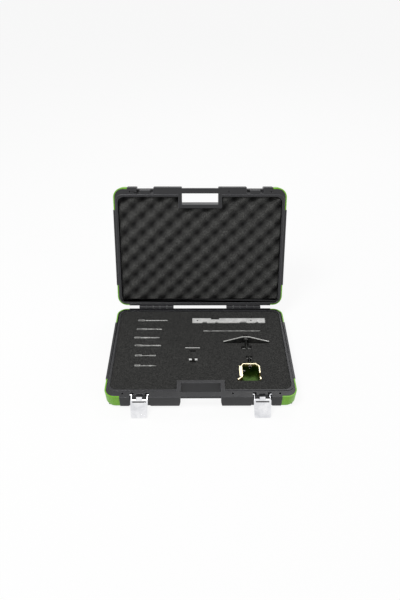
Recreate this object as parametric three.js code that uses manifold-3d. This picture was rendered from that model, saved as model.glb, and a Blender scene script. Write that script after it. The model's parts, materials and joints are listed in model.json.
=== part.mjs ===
// An open plastic tool case holding an engine timing tool set.
// Millimetres. +X is the viewer's right, +Y the back (the hinge side), +Z up.
// The origin is the centre of the base's underside. The lid stands open at its stop.

import * as THREE from 'three';
import { mergeVertices } from 'three/addons/utils/BufferGeometryUtils.js';
import Module from 'manifold-3d';

const wasm = await Module();
wasm.setup();

// ---------------------------------------------------------------- driving dimensions

// Case halves. Both are trays with their rims towards each other.
const CASE_WIDTH = 480;
const CASE_DEPTH = 342;
const BASE_HEIGHT = 40;
const LID_HEIGHT = 40;
const CORNER_RADIUS = 28;
const EDGE_RADIUS = 9; // round between a wall and the outer face
const DRAFT = 2; // how far each wall leans in over its height
const SKIN = 3; // outer face of each tray
const RIM_FRONT = 26;
const RIM_SIDE = 13;
const RIM_BACK = 12;
const CAVITY_RADIUS = 18;
const RIM_GAP = 0.4; // between the closed rims
const LID_OPEN_ANGLE = 109.5; // degrees from closed

// Rim seal: a tongue on the lid that drops in a groove on the base.
const TONGUE_WIDTH = 2;
const TONGUE_HEIGHT = 1.6;
const TONGUE_INSET = 6.5; // from the side and back walls
const TONGUE_FRONT_INSET = 20; // behind the latch notches

// Carrying handle, one half on each tray.
const HANDLE_HOLE_WIDTH = 100;
const HANDLE_HOLE_DEPTH = 30;
const HANDLE_BAR_DEPTH = 14;
const HANDLE_BAR_HEIGHT = 11;
const HANDLE_SET_BACK = 3; // bar behind the front wall
const HANDLE_WALL = 10; // wall between the hole and the foam
const HANDLE_FLARE = 4; // how far the opening widens towards the outer face

// Corner caps, sunk a little below the walls they wrap.
const CAP_THICKNESS = 3;
const CAP_SINK = 1.5;
const CAP_BELOW_RIM = 0.6;
const CAP_FRONT_RUN = 40; // along the front wall
const CAP_BACK_RUN = 34; // along the back wall
const CAP_SIDE_RUN = 62; // along the side wall
const CAP_INNER_WALL = 1; // left between a cap's edge and the tray's inside

// Latches.
const LATCH_CENTRE = 151;
const LATCH_RECESS_WIDTH = 47;
const LATCH_RECESS_DEPTH = 8;
const LATCH_FLARE = 3.5;
const CATCH_WIDTH = 28; // middle block, between the notches of the link's arms
const NOTCH_DEPTH = 16; // from the front wall
const CATCH_LIP = 2; // walls of the groove that the hook drops in
const CATCH_HEIGHT = 13.5; // ledge on the lid that the hook pulls on
const LID_RECESS_HEIGHT = 21;
const LINK_WIRE_RADIUS = 1.5;
const LINK_LENGTH = 14;
const LINK_SPAN = 38.6; // between the arms
const LINK_PIVOT_BEHIND = 12; // behind the front wall
const LINK_PIVOT_BELOW = 4; // below the base's rim
const LINK_PIVOT_REACH = 3.5; // wire ends held in the recess's side walls
const LINK_REST_ANGLE = 24; // degrees below level, open
const LEVER_WIDTH = 43;
const LEVER_TIP_WIDTH = 40;
const LEVER_LENGTH = 43;
const LEVER_SHEET = 1.2;
const LEVER_CORNER = 4;
const CURL_ENDS = [1.05 * Math.PI, -0.15 * Math.PI]; // of the lever's curl round the link's bar
const LEVER_SLOT = { from: 2.5, height: 3.2, margin: 5 }; // below the link's bar, and from each side
const HOOK_WIDTH = 14;
const HOOK_RISE = 8; // above the link's bar
const HOOK_REACH = 11; // back from the lever's face
const HOOK_NOSE = 2.2;
const HOOK_ROOM_DEPTH = 4; // slot in the base's middle block that the hook swings through
const HOOK_ROOM_HEIGHT = 15;

// Locating holes in both front rims.
const LOCATING_HOLES = [-193, 79, 195]; // x, seen from the front
const LOCATING_HOLE = { radius: 2.6, depth: 6, behind: 12.5 };

// Hinges.
const HINGE_CENTRE = 127;
const HINGE_WIDTH = 100;
const KNUCKLE_COUNT = 5; // per hinge, the odd ones on the base
const KNUCKLE_RADIUS = 4.5;
const HINGE_PIN_RADIUS = 1.5;
const HINGE_BEHIND = 5; // axis behind the back walls
const HEEL_LENGTH = 9; // stop behind the base's knuckles

// Foams.
const FOAM_BELOW_RIM = 2.5;
const LID_FOAM_BELOW_RIM = 5;

// Clearances.
const GAP = 0.3; // between neighbours that touch
const POCKET_GAP = 0.6; // foam around a tool
const RUN_GAP = 0.4; // around a pin that turns

// Tools. Each place is a reference point: x, and y as a share of the way to the back wall.
const PIN_SINK = 0.5; // axis of a lying pin below the foam's face
const TIMING_PINS = [ // each run is its length and radius, from the head
  { x: -176, y: 0.848, runs: [[19, 4], [4, 2], [62, 2.8]], tip: 3 },
  { x: -177.5, y: 0.7398, runs: [[29, 3.4], [42, 2.8]], tip: 1 },
  { x: -181, y: 0.636, runs: [[19, 4], [51, 3.4]], tip: 1 },
  { x: -177, y: 0.5439, runs: [[20, 4.2], [2, 2.8], [50, 3.2]], tip: 1 },
  { x: -174, y: 0.4313, runs: [[19, 4], [19, 1.9], [19, 3.2]], tip: 1 },
  { x: -172, y: 0.3216, runs: [[16, 4], [6, 2.2], [36, 2.8]], tip: 5 },
];
const ROD = { x: 8, y: 0.7164, runs: [[12, 3.2], [14, 2], [90, 2.6], [9, 1.6], [35, 2.4]], tip: 2 };
const BAR = { x: -22, y: 0.8158, length: 206.5, width: 19, thickness: 5, proud: 1.5 };
const BAR_HOLES = { at: [14.5, 166], radius: 3 }; // from the left end
const BAR_NOTCHES = [ // from the left end: start, width, depth, and which edge
  [53.5, 23, 5, 1],
  [28.5, 13.5, 5, -1],
  [64.5, 8, 4, -1],
  [134.5, 19.5, 5, -1],
  [179, 8.5, 4, -1],
];
const CHEVRON = { x: 125, y: 0.6462, span: 125, flat: 16, rise: 19, height: 20, sheet: 3.5 };
const CHEVRON_SCREW = {
  radius: 3, length: 52, back: 5, boss: 4.6, bossLength: 9, bar: 24, barRadius: 1.8,
};
const BRACKET = {
  x: 129, y: 0.3406, width: 49, depth: 56, height: 28, sheet: 3, chamfer: 9, foot: 11, flange: 5,
};
const BRACKET_NOTCH = { from: 34, to: 48, depth: 8 }; // in the right wall, from the back
const BRACKET_SCREW = {
  radius: 2.4, length: 37, back: 28, boss: 3.4, bossLength: 6, bar: 15, barRadius: 1.4,
};
const SIDE_SCREW = { fromBack: 21, radius: 2, headRadius: 3.4, headLength: 4, length: 15 };
const NUT = { length: 6, wall: 3 };
const SCREW_DEPTH = 5; // axes of the clamp screws below the foam's face
const PLATE = { x: -21, y: 0.5175, width: 39, height: 24, sheet: 1.5, proud: 0.8 };
const FORK = { x: -19, y: 0.383, width: 22, height: 18, sheet: 4, slot: 8, slotDepth: 11, proud: 3 };
const TOOL_PROUD = 2; // chevron and bracket above the foam
const FINGER_CUT = { radius: 9, reach: 6, depth: 12, plateOffset: 9, forkOffset: 3 };

// ---------------------------------------------------------------- places that follow

const FRONT = -CASE_DEPTH / 2;
const BACK = CASE_DEPTH / 2;
const SIDE = CASE_WIDTH / 2;
const HOLE_NEAR = FRONT + HANDLE_SET_BACK + HANDLE_BAR_DEPTH;
const HOLE_FAR = HOLE_NEAR + HANDLE_HOLE_DEPTH;
const HINGE_Y = BACK + HINGE_BEHIND;
const HINGE_Z = RIM_GAP / 2; // above a tray's own rim
const FOAM_TOP = BASE_HEIGHT - FOAM_BELOW_RIM;
const CAP_WRAP = Math.min(RIM_SIDE, RIM_BACK) - CAP_INNER_WALL; // onto the outer face
const FACETS = 12; // round a small pin or wire
const FAR = 1000; // past every face of a cut
const rad = THREE.MathUtils.degToRad;

// Colours and finishes.
const FINISHES = {
  blackPlastic: { color: 0x3a3a3c, roughness: 0.55, metalness: 0 },
  greenPlastic: { color: 0x7ab82c, roughness: 0.45, metalness: 0 },
  lidFoam: { color: 0x474746, roughness: 0.95, metalness: 0 },
  baseFoam: { color: 0x2e2e2c, roughness: 0.95, metalness: 0 },
  chrome: { color: 0xd8d8dc, roughness: 0.15, metalness: 1 },
  steel: { color: 0x9a9a98, roughness: 0.35, metalness: 1 },
  brightSteel: { color: 0xe8e8e8, roughness: 0.3, metalness: 1 },
  darkSteel: { color: 0x4a4a48, roughness: 0.45, metalness: 1 },
  yellowZinc: { color: 0xc0a860, roughness: 0.3, metalness: 1 },
};

// ---------------------------------------------------------------- solids

/** A closed three.js geometry as a solid that can be joined and cut. */
function toSolid(geometry) {
  const bare = geometry.clone();
  bare.deleteAttribute('normal');
  bare.deleteAttribute('uv');
  const merged = mergeVertices(bare, 1e-4);
  const corners = merged.index.array;
  const kept = [];
  for (let i = 0; i < corners.length; i += 3) {
    const [a, b, c] = [corners[i], corners[i + 1], corners[i + 2]];
    if (a !== b && b !== c && c !== a) kept.push(a, b, c);
  }
  return new wasm.Manifold(new wasm.Mesh({
    numProp: 3,
    vertProperties: new Float32Array(merged.attributes.position.array),
    triVerts: new Uint32Array(kept),
  }));
}

/** A solid as a three.js geometry. */
function toGeometry(solid) {
  const mesh = solid.getMesh();
  const geometry = new THREE.BufferGeometry();
  geometry.setAttribute('position', new THREE.BufferAttribute(mesh.vertProperties, 3));
  geometry.setIndex(new THREE.BufferAttribute(mesh.triVerts, 1));
  geometry.computeVertexNormals();
  return geometry;
}

const join = (solids) => solids.reduce((all, one) => all.add(one));
const cut = (solid, tools) => tools.reduce((left, tool) => left.subtract(tool), solid);

/** A box between two values on each axis. */
function block(x0, x1, y0, y1, z0, z1) {
  const geometry = new THREE.BoxGeometry(x1 - x0, y1 - y0, z1 - z0);
  geometry.translate((x0 + x1) / 2, (y0 + y1) / 2, (z0 + z1) / 2);
  return toSolid(geometry);
}

/** A box centred on x and y, between two heights. */
function centredBlock(x, y, wide, deep, z0, z1) {
  return block(x - wide / 2, x + wide / 2, y - deep / 2, y + deep / 2, z0, z1);
}

/** An outline drawn on two axes, pushed along the third. */
function prism(outline, axis, from, to, curveSegments = 6) {
  const shape = Array.isArray(outline)
    ? new THREE.Shape(outline.map(([u, v]) => new THREE.Vector2(u, v)))
    : outline;
  const geometry = new THREE.ExtrudeGeometry(shape, {
    depth: to - from,
    bevelEnabled: false,
    curveSegments,
  });
  geometry.translate(0, 0, from);
  const turn = new THREE.Matrix4();
  if (axis === 'x') turn.set(0, 0, 1, 0, 1, 0, 0, 0, 0, 1, 0, 0, 0, 0, 0, 1);
  if (axis === 'y') turn.set(1, 0, 0, 0, 0, 0, -1, 0, 0, 1, 0, 0, 0, 0, 0, 1);
  geometry.applyMatrix4(turn);
  return toSolid(geometry);
}

/** A round bar between two points. */
function bar(start, end, radius, facets = FACETS) {
  const a = new THREE.Vector3(...start);
  const b = new THREE.Vector3(...end);
  const along = b.clone().sub(a);
  const geometry = new THREE.CylinderGeometry(radius, radius, along.length(), facets);
  const upwards = new THREE.Vector3(0, 1, 0);
  const turn = new THREE.Quaternion().setFromUnitVectors(upwards, along.clone().normalize());
  geometry.applyQuaternion(turn);
  geometry.translate(...a.add(b).multiplyScalar(0.5).toArray());
  return toSolid(geometry);
}

/** A round-cornered rectangle. */
function roundedRectangle(x0, x1, y0, y1, radius) {
  const shape = new THREE.Shape();
  shape.absarc(x1 - radius, y0 + radius, radius, -Math.PI / 2, 0);
  shape.absarc(x1 - radius, y1 - radius, radius, 0, Math.PI / 2);
  shape.absarc(x0 + radius, y1 - radius, radius, Math.PI / 2, Math.PI);
  shape.absarc(x0 + radius, y0 + radius, radius, Math.PI, 1.5 * Math.PI);
  return shape;
}

const material = (finish) => new THREE.MeshStandardMaterial(FINISHES[finish]);

/** A named sub-part. */
function piece(name, solid, finish) {
  const mesh = new THREE.Mesh(toGeometry(solid), material(finish));
  mesh.name = name;
  return mesh;
}

// ---------------------------------------------------------------- case halves
// A tray is built rim up: its rim is at z = 0 and its outer face at z = -height.

/** The tray's outer form, drawn in by an inset all over. */
function trayForm(height, inset = 0) {
  const round = EDGE_RADIUS - inset;
  const outline = roundedRectangle(
    -SIDE + inset, SIDE - inset, FRONT + inset, BACK - inset, CORNER_RADIUS - inset);
  const geometry = new THREE.ExtrudeGeometry(outline, {
    depth: height,
    bevelEnabled: true,
    bevelThickness: round,
    bevelSize: round,
    bevelOffset: -round,
    bevelSegments: 2,
    curveSegments: 6,
  });
  geometry.translate(0, 0, EDGE_RADIUS - height);
  const position = geometry.attributes.position;
  for (let i = 0; i < position.count; i += 1) {
    const [x, y, z] = [position.getX(i), position.getY(i), position.getZ(i)];
    const lean = DRAFT * -z / height;
    position.setXY(i, x - Math.sign(x) * lean, y - Math.sign(y) * lean);
  }
  return toSolid(geometry).intersect(block(-FAR, FAR, -FAR, FAR, -FAR, 0));
}

/** The space for foam: the tray's inside, less the wall round the handle's hole. */
function cavity(height, inset, floor, top) {
  const outline = roundedRectangle(
    -SIDE + RIM_SIDE + inset, SIDE - RIM_SIDE - inset,
    FRONT + RIM_FRONT + inset, BACK - RIM_BACK - inset, CAVITY_RADIUS - inset);
  const half = HANDLE_HOLE_WIDTH / 2 + HANDLE_WALL + inset;
  const wall = block(-half, half, -FAR, HOLE_FAR + HANDLE_WALL + inset, -FAR, FAR);
  return prism(outline, 'z', floor - height, top).subtract(wall);
}

/** One handle opening with its grip bar left in place. */
function handleOpening(height) {
  const half = HANDLE_HOLE_WIDTH / 2;
  const opening = prism([
    [-half, 1], [-half, -height / 2], [-half - HANDLE_FLARE, -height - 1],
    [half + HANDLE_FLARE, -height - 1], [half, -height / 2], [half, 1],
  ], 'y', -HOLE_FAR, FAR);
  const near = FRONT + HANDLE_SET_BACK;
  const chamfer = 3;
  const grip = prism([
    [near + chamfer, -HANDLE_BAR_HEIGHT], [HOLE_NEAR - chamfer, -HANDLE_BAR_HEIGHT],
    [HOLE_NEAR, -HANDLE_BAR_HEIGHT + chamfer], [HOLE_NEAR, 0],
    [near, 0], [near, -HANDLE_BAR_HEIGHT + chamfer],
  ], 'x', -half - 2 * HANDLE_FLARE, half + 2 * HANDLE_FLARE);
  return { opening, grip };
}

/** Where one corner cap lies; grow widens it for the cap's seat. */
function capZone(height, sideways, lengthways, grow, top) {
  const run = lengthways < 0 ? CAP_FRONT_RUN : CAP_BACK_RUN;
  const spanX = [SIDE - run - grow, FAR];
  const spanY = [BACK - CAP_SIDE_RUN - grow, FAR];
  const inner = [SIDE - CAP_WRAP - grow, BACK - CAP_WRAP - grow];
  const across = ([a, b]) => (sideways > 0 ? [a, b] : [-b, -a]);
  const along = ([a, b]) => (lengthways > 0 ? [a, b] : [-b, -a]);
  const zone = block(...across(spanX), ...along(spanY), -FAR, top);
  const middle = block(...across([0, inner[0]]), ...along([0, inner[1]]), -FAR, FAR);
  return zone.subtract(middle);
}

const CORNERS = [
  { name: 'front_left', sideways: -1, lengthways: -1 },
  { name: 'front_right', sideways: 1, lengthways: -1 },
  { name: 'back_left', sideways: -1, lengthways: 1 },
  { name: 'back_right', sideways: 1, lengthways: 1 },
];

/** A corner cap, a bent shell over the tray's corner. */
function cornerCap(height, corner) {
  const layer = trayForm(height, CAP_SINK).subtract(trayForm(height, CAP_SINK + CAP_THICKNESS));
  return layer.intersect(capZone(height, corner.sideways, corner.lengthways, 0, -CAP_BELOW_RIM));
}

/** The ring of the rim's tongue, or with a gap, of its groove. */
function sealRing(gap, from, to) {
  const ring = (inset) => prism(roundedRectangle(
    -SIDE + TONGUE_INSET + inset, SIDE - TONGUE_INSET - inset,
    FRONT + TONGUE_FRONT_INSET + inset, BACK - TONGUE_INSET - inset,
    CAVITY_RADIUS - inset), 'z', from, to, 5);
  const half = HANDLE_HOLE_WIDTH / 2 + HANDLE_WALL;
  return ring(-gap).subtract(ring(TONGUE_WIDTH + gap))
    .subtract(block(-half + gap, half - gap, -FAR, 0, -FAR, FAR));
}

/** The x ranges of a tray's knuckles: first 0 for the base, 1 for the lid. */
function knuckleSpans(first) {
  const pitch = HINGE_WIDTH / KNUCKLE_COUNT;
  const spans = [];
  for (const side of [-1, 1]) {
    for (let i = first; i < KNUCKLE_COUNT; i += 2) {
      const left = side * HINGE_CENTRE - HINGE_WIDTH / 2 + i * pitch;
      spans.push([left + GAP, left + pitch - GAP]);
    }
  }
  return spans;
}

/** One knuckle with the web that ties it to the back wall. */
function knuckle([from, to], withHeel) {
  const parts = [
    bar([from, HINGE_Y, HINGE_Z], [to, HINGE_Y, HINGE_Z], KNUCKLE_RADIUS, 16),
    block(from, to, BACK - TONGUE_INSET / 2, HINGE_Y, HINGE_Z - KNUCKLE_RADIUS, -GAP),
  ];
  if (withHeel) {
    const lean = rad(LID_OPEN_ANGLE - 90);
    const stop = HINGE_BEHIND - RUN_GAP;
    const face = (t) => (stop - Math.sin(lean) * t) / Math.cos(lean);
    const near = stop * Math.sin(lean);
    parts.push(prism([
      [HINGE_Y, HINGE_Z - KNUCKLE_RADIUS], [HINGE_Y + HEEL_LENGTH, HINGE_Z - KNUCKLE_RADIUS / 2],
      [HINGE_Y + HEEL_LENGTH, HINGE_Z + face(HEEL_LENGTH)],
      [HINGE_Y + near, HINGE_Z + face(near)], [HINGE_Y, HINGE_Z],
    ], 'x', from, to));
  }
  return join(parts);
}

/** The bores of both hinge pins. */
const hingeBores = () => [-1, 1].map((side) => {
  const reach = HINGE_WIDTH / 2 + 1;
  const x = side * HINGE_CENTRE;
  const radius = HINGE_PIN_RADIUS + RUN_GAP;
  return bar([x - reach, HINGE_Y, HINGE_Z], [x + reach, HINGE_Y, HINGE_Z], radius, FACETS);
});

/** Cuts in the base's front wall for one latch. */
function baseLatchCuts(x) {
  const half = LATCH_RECESS_WIDTH / 2;
  const recess = prism([
    [x - half, 1], [x - half, -BASE_HEIGHT / 2], [x - half - LATCH_FLARE, -BASE_HEIGHT - 1],
    [x + half + LATCH_FLARE, -BASE_HEIGHT - 1], [x + half, -BASE_HEIGHT / 2], [x + half, 1],
  ], 'y', -FRONT - LATCH_RECESS_DEPTH, FAR);
  const floor = restArmFloor();
  const notches = [-1, 1].map((side) => {
    const edges = [x + side * CATCH_WIDTH / 2, x + side * half].sort((a, b) => a - b);
    return block(...edges, FRONT, FRONT + NOTCH_DEPTH, floor, 1);
  });
  const reach = half + LINK_PIVOT_REACH + RUN_GAP;
  const bore = bar(
    [x - reach, LINK_PIVOT[0], -LINK_PIVOT_BELOW], [x + reach, LINK_PIVOT[0], -LINK_PIVOT_BELOW],
    LINK_WIRE_RADIUS + RUN_GAP);
  const sideBores = bore.subtract(block(x - CATCH_WIDTH / 2, x + CATCH_WIDTH / 2, -FAR, FAR, -FAR, FAR));
  const slotHalf = HOOK_WIDTH / 2 + POCKET_GAP;
  const slotBack = FRONT + LATCH_RECESS_DEPTH + HOOK_ROOM_DEPTH;
  const hookSlot = block(x - slotHalf, x + slotHalf, FRONT, slotBack, -HOOK_ROOM_HEIGHT, 1);
  return [recess, ...notches, sideBores, hookSlot];
}

/** Depth of the notches: the open link's arms lie just over their front edges. */
function restArmFloor() {
  const slope = Math.tan(rad(LINK_REST_ANGLE));
  const under = LINK_WIRE_RADIUS / Math.cos(rad(LINK_REST_ANGLE));
  const run = LINK_PIVOT_BEHIND - LATCH_RECESS_DEPTH;
  return -LINK_PIVOT_BELOW - run * slope - under - GAP;
}

/** The lid's recess for one latch, and the catch left standing in it. */
function lidLatch(x) {
  const wide = LATCH_RECESS_WIDTH / 2;
  const recess = join([
    block(x - wide, x + wide, -FAR, FRONT + LATCH_RECESS_DEPTH, -FAR, 1),
    block(x - wide, x + wide, -FAR, FRONT + NOTCH_DEPTH, -LID_RECESS_HEIGHT, 1),
  ]);
  const near = FRONT + LATCH_RECESS_DEPTH;
  const far = FRONT + NOTCH_DEPTH;
  const grooveTop = -CATCH_HEIGHT + HOOK_NOSE + GAP;
  const groove = block(-FAR, FAR, near + CATCH_LIP, far - CATCH_LIP, -FAR, grooveTop);
  const half = CATCH_WIDTH / 2;
  const stand = block(x - half, x + half, near, far + 1, -CATCH_HEIGHT, 0);
  return { recess, catchBlock: stand.subtract(groove) };
}

/** The locating holes of a tray; the lid's are mirrored because it is turned over. */
const locatingHoles = (mirror) => LOCATING_HOLES.map((x) => {
  const centre = [mirror * x, FRONT + LOCATING_HOLE.behind];
  return bar([...centre, -LOCATING_HOLE.depth], [...centre, 1], LOCATING_HOLE.radius);
});

/** The base's tray, rim up. */
function baseShell() {
  const { opening, grip } = handleOpening(BASE_HEIGHT);
  const cuts = [
    cavity(BASE_HEIGHT, 0, SKIN, 1),
    opening,
    ...[-1, 1].flatMap((side) => baseLatchCuts(side * LATCH_CENTRE)),
    sealRing(GAP, -TONGUE_HEIGHT - GAP, 1),
    ...capSeats(BASE_HEIGHT),
    ...locatingHoles(1),
  ];
  const tray = cut(trayForm(BASE_HEIGHT), cuts).add(grip);
  const knuckles = knuckleSpans(0).map((span) => knuckle(span, true));
  return cut(join([tray, ...knuckles]), [...hingeBores(), ...knuckleRooms(1)]);
}

/** The lid's tray, rim up. */
function lidShell() {
  const { opening, grip } = handleOpening(LID_HEIGHT);
  const latches = [-1, 1].map((side) => lidLatch(side * LATCH_CENTRE));
  const cuts = [
    cavity(LID_HEIGHT, 0, SKIN, 1),
    opening,
    ...latches.map((latch) => latch.recess),
    ...capSeats(LID_HEIGHT),
    ...locatingHoles(-1),
  ];
  const tray = join([
    cut(trayForm(LID_HEIGHT), cuts), grip, ...latches.map((latch) => latch.catchBlock),
    sealRing(0, -1, TONGUE_HEIGHT),
  ]);
  const knuckles = knuckleSpans(1).map((span) => knuckle(span, false));
  return cut(join([tray, ...knuckles]), [...hingeBores(), ...knuckleRooms(0)]);
}

/** Seats of all four corner caps. */
function capSeats(height) {
  const core = trayForm(height, CAP_SINK + CAP_THICKNESS + GAP);
  return CORNERS.map(({ sideways, lengthways }) => (
    capZone(height, sideways, lengthways, GAP, 1).subtract(core)));
}

/** Room in a tray's back wall for the other tray's knuckles. */
function knuckleRooms(first) {
  const radius = KNUCKLE_RADIUS + RUN_GAP;
  return knuckleSpans(first).map(([from, to]) =>
    bar([from - GAP, HINGE_Y, HINGE_Z], [to + GAP, HINGE_Y, HINGE_Z], radius, 16));
}

// ---------------------------------------------------------------- latches

const LINK_PIVOT = [FRONT + LINK_PIVOT_BEHIND, BASE_HEIGHT - LINK_PIVOT_BELOW]; // y, z

/** The wire link, flat: pivot ends at y = 0, cross bar at y = -LINK_LENGTH. */
function linkWire() {
  const arm = LINK_SPAN / 2;
  const end = LATCH_RECESS_WIDTH / 2 + LINK_PIVOT_REACH;
  const path = [
    [-end, 0, 0], [-arm, 0, 0], [-arm, -LINK_LENGTH, 0],
    [arm, -LINK_LENGTH, 0], [arm, 0, 0], [end, 0, 0],
  ];
  const parts = [];
  for (let i = 1; i < path.length; i += 1) parts.push(bar(path[i - 1], path[i], LINK_WIRE_RADIUS));
  for (const corner of path.slice(1, -1)) {
    const ball = new THREE.SphereGeometry(LINK_WIRE_RADIUS, FACETS, FACETS / 2);
    ball.rotateZ(Math.PI / 2);
    ball.translate(...corner);
    parts.push(toSolid(ball));
  }
  return join(parts);
}

/** The lever as it hangs closed: the link's bar at the origin, the tip straight down. */
function leverSheet() {
  const inner = LINK_WIRE_RADIUS + GAP;
  const outer = inner + LEVER_SHEET;
  const wide = LEVER_WIDTH / 2;
  const tip = LEVER_TIP_WIDTH / 2;
  const face = new THREE.Shape();
  face.moveTo(-wide, 0);
  face.lineTo(-tip, -LEVER_LENGTH + LEVER_CORNER);
  face.quadraticCurveTo(-tip, -LEVER_LENGTH, -tip + LEVER_CORNER, -LEVER_LENGTH);
  face.lineTo(tip - LEVER_CORNER, -LEVER_LENGTH);
  face.quadraticCurveTo(tip, -LEVER_LENGTH, tip, -LEVER_LENGTH + LEVER_CORNER);
  face.lineTo(wide, 0);
  const sheet = prism(face, 'y', inner, outer, 4);
  const curl = new THREE.Shape();
  curl.absarc(0, 0, outer, CURL_ENDS[0], CURL_ENDS[1], true);
  curl.absarc(0, 0, inner, CURL_ENDS[1], CURL_ENDS[0], false);
  const reach = LINK_SPAN / 2 - LINK_WIRE_RADIUS - GAP;
  const hookHalf = HOOK_WIDTH / 2;
  const curls = [[-reach, -hookHalf - GAP], [hookHalf + GAP, reach]]
    .map(([from, to]) => prism(curl, 'x', from, to, 10));
  const hook = prism([
    [-outer, -2], [-inner, -2], [-inner, HOOK_RISE - LEVER_SHEET],
    [HOOK_REACH - outer - LEVER_SHEET, HOOK_RISE - LEVER_SHEET],
    [HOOK_REACH - outer - LEVER_SHEET, HOOK_RISE - LEVER_SHEET - HOOK_NOSE],
    [HOOK_REACH - outer, HOOK_RISE - LEVER_SHEET - HOOK_NOSE],
    [HOOK_REACH - outer, HOOK_RISE], [-outer, HOOK_RISE],
  ], 'x', -hookHalf, hookHalf);
  const slotEnd = -LEVER_SLOT.from - LEVER_SLOT.height;
  const slotHalf = wide - LEVER_SLOT.margin;
  const slot = block(-slotHalf, slotHalf, -FAR, FAR, slotEnd, -LEVER_SLOT.from);
  return join([sheet, ...curls, hook]).subtract(slot);
}

/** How far the lever hangs below level with its tip just off the ground. */
function leverRestAngle() {
  const barHeight = LINK_PIVOT[1] - LINK_LENGTH * Math.sin(rad(LINK_REST_ANGLE));
  const offset = LINK_WIRE_RADIUS + GAP;
  const reach = Math.hypot(LEVER_LENGTH, offset);
  return Math.asin((barHeight - GAP) / reach) + Math.atan2(offset, LEVER_LENGTH);
}

/** One latch hanging open, as a group at the link's pivot. */
function latch(side, name) {
  const hang = new THREE.Group();
  hang.position.set(side * LATCH_CENTRE, ...LINK_PIVOT);
  hang.rotation.x = rad(LINK_REST_ANGLE);
  const swing = new THREE.Group();
  swing.position.y = -LINK_LENGTH;
  swing.rotation.x = leverRestAngle() - Math.PI / 2 - rad(LINK_REST_ANGLE);
  swing.add(piece(`latch_lever_${name}`, leverSheet(), 'chrome'));
  hang.add(piece(`latch_link_${name}`, linkWire(), 'chrome'), swing);
  return hang;
}

// ---------------------------------------------------------------- tools
// A tool is its own sub-parts and the room that the foam keeps for it.

const fromFront = (share) => FRONT + share * CASE_DEPTH;

/** A turned bar lying along +X: its runs are lengths and radii from the head. */
function turned(runs, tip, facets = 14) {
  const profile = [[0, 0]];
  let at = 0;
  runs.forEach(([length, radius], i) => {
    const last = i === runs.length - 1;
    const ease = i === 0 ? Math.min(0.6, radius / 4) : 0;
    if (ease) profile.push([radius - ease, at]);
    profile.push([radius, at + ease]);
    at += length;
    if (last) profile.push([radius, at - tip], [radius / 3, at], [0, at]);
    else profile.push([radius, at]);
  });
  const points = profile.map(([radius, along]) => new THREE.Vector2(radius, along));
  const geometry = new THREE.LatheGeometry(points, facets);
  geometry.rotateZ(-Math.PI / 2);
  return toSolid(geometry);
}

/** The trough for a turned bar: one box for the head, one for the rest. */
function trough({ x, y, runs }, axisZ) {
  const boxes = [];
  let at = 0;
  for (const [i, [length]] of runs.entries()) {
    const group = i === 0 ? [runs[0]] : runs.slice(1);
    const radius = Math.max(...group.map((run) => run[1])) + POCKET_GAP;
    const from = x + at - (i === 0 ? POCKET_GAP : 0);
    boxes.push(block(from, x + at + length + POCKET_GAP, y - radius, y + radius, axisZ - radius, FAR));
    at += length;
  }
  return join(boxes);
}

/** A turned tool with its trough. */
function turnedTool(name, size, finish) {
  const place = { ...size, y: fromFront(size.y) };
  const axisZ = FOAM_TOP - PIN_SINK;
  const mesh = piece(name, turned(size.runs, size.tip), finish);
  mesh.position.set(place.x, place.y, axisZ);
  return { meshes: [mesh], room: trough(place, axisZ) };
}

/** The notched setting bar, lying flat. */
function settingBar() {
  const { x, length, width, thickness, proud } = BAR;
  const y = fromFront(BAR.y);
  const top = FOAM_TOP + proud;
  const notches = BAR_NOTCHES.map(([start, wide, deep, edge]) => {
    const y0 = edge > 0 ? y + width - deep : y - 1;
    return block(x + start, x + start + wide, y0, y0 + deep + 1, 0, FAR);
  });
  const holes = BAR_HOLES.at.map((at) => {
    const centre = [x + at, y + width / 2];
    return bar([...centre, 0], [...centre, FAR], BAR_HOLES.radius);
  });
  const plain = block(x, x + length, y, y + width, top - thickness, top);
  const g = POCKET_GAP;
  return {
    meshes: [piece('setting_bar', cut(plain, [...notches, ...holes]), 'brightSteel')],
    room: block(x - g, x + length + g, y - g, y + width + g, top - thickness - g, FAR),
  };
}

/** A hexagonal nut on a screw that runs along Y, with its bore. */
function nut(x, y0, z, bore) {
  const outside = bar([x, y0, z], [x, y0 + NUT.length, z], bore + NUT.wall, 6);
  return outside.subtract(screwBore(x, z, bore));
}

/** The hole that a screw along Y turns in. */
const screwBore = (x, z, radius) => bar([x, -FAR, z], [x, FAR, z], radius + RUN_GAP);

/** A screw along Y with a boss at one end and a cross bar through the boss. */
function clampScrew(name, { x, z, tail, boss, size }) {
  const toTail = Math.sign(tail - boss);
  const inner = boss + toTail * size.bossLength;
  const middle = (boss + inner) / 2;
  const body = join([
    bar([x, boss, z], [x, inner, z], size.boss, FACETS),
    bar([x, inner - toTail, z], [x, tail, z], size.radius, FACETS),
  ]);
  const half = size.bar / 2;
  const hole = bar([x - half, middle, z], [x + half, middle, z], size.barRadius + GAP, 8);
  const cross = bar([x - half, middle, z], [x + half, middle, z], size.barRadius, 8);
  const g = POCKET_GAP + size.barRadius;
  const width = 2 * (half + g);
  const tailRoom = Math.abs(tail - boss) + 2 * g;
  return {
    meshes: [
      piece(`${name}_screw`, body.subtract(hole), 'darkSteel'),
      piece(`${name}_tommy_bar`, cross, 'steel'),
    ],
    room: join([
      centredBlock(x, middle, width, size.bossLength + 2 * g, z - half - g, FAR),
      centredBlock(x, (boss + tail) / 2, 2 * (size.boss + g), tailRoom, z - size.boss - g, FAR),
    ]),
  };
}

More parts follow.
